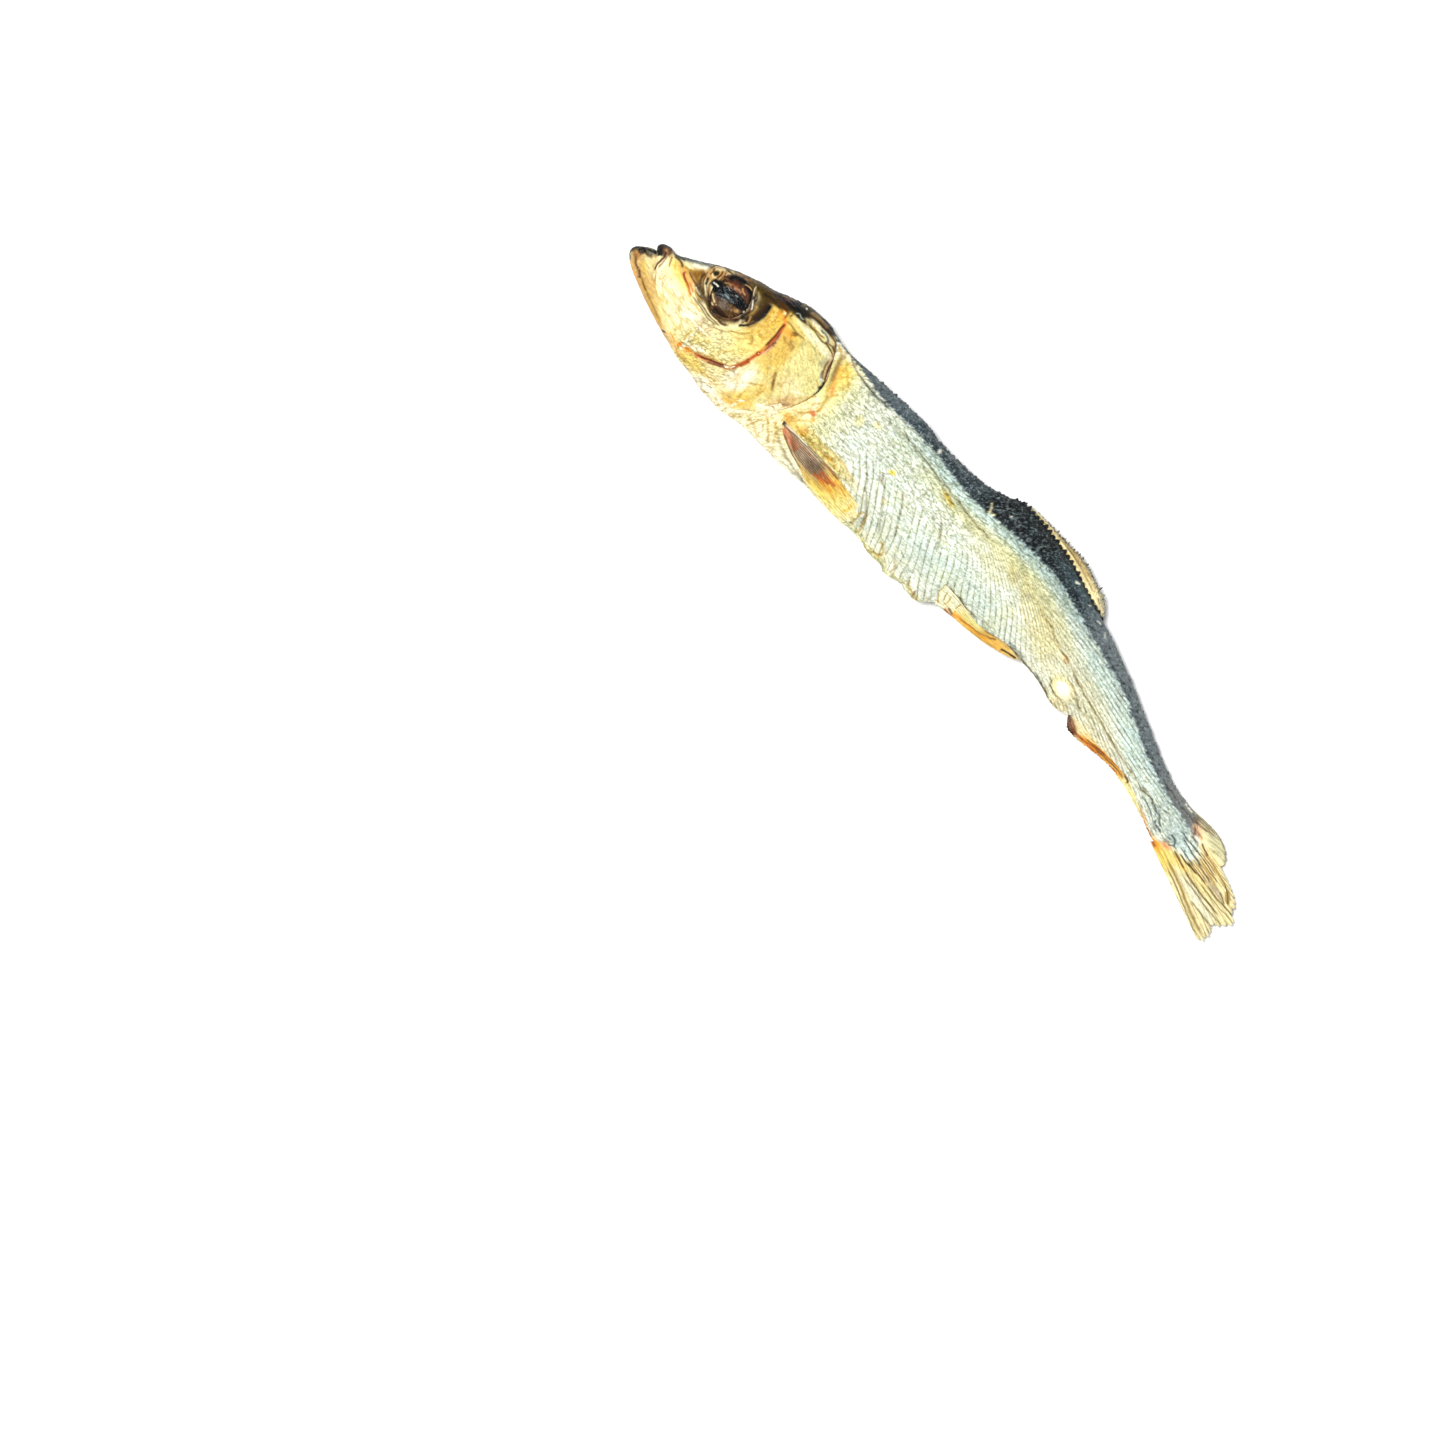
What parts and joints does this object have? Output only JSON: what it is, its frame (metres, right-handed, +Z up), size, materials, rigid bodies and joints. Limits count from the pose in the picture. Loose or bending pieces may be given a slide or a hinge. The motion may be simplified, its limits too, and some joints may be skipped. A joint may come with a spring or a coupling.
{
  "type": "smoked fish",
  "caption": "Whole small smoked and dried herring with head, fins and tail, lying flat on its side with the left flank up.",
  "frame": {"origin": "on the surface that the fish lies on, under the middle of the box round the fish", "axes": "+X from the snout to the tail, +Y from the belly to the back, +Z up through the left flank"},
  "size_m": [0.1816, 0.037, 0.0111],
  "materials": {
    "smoked_skin": "satin, oily silver and gold skin"
  },
  "bodies": {
    "root": {"smoked_fish": "smoked_skin"}
  },
  "joints": []
}
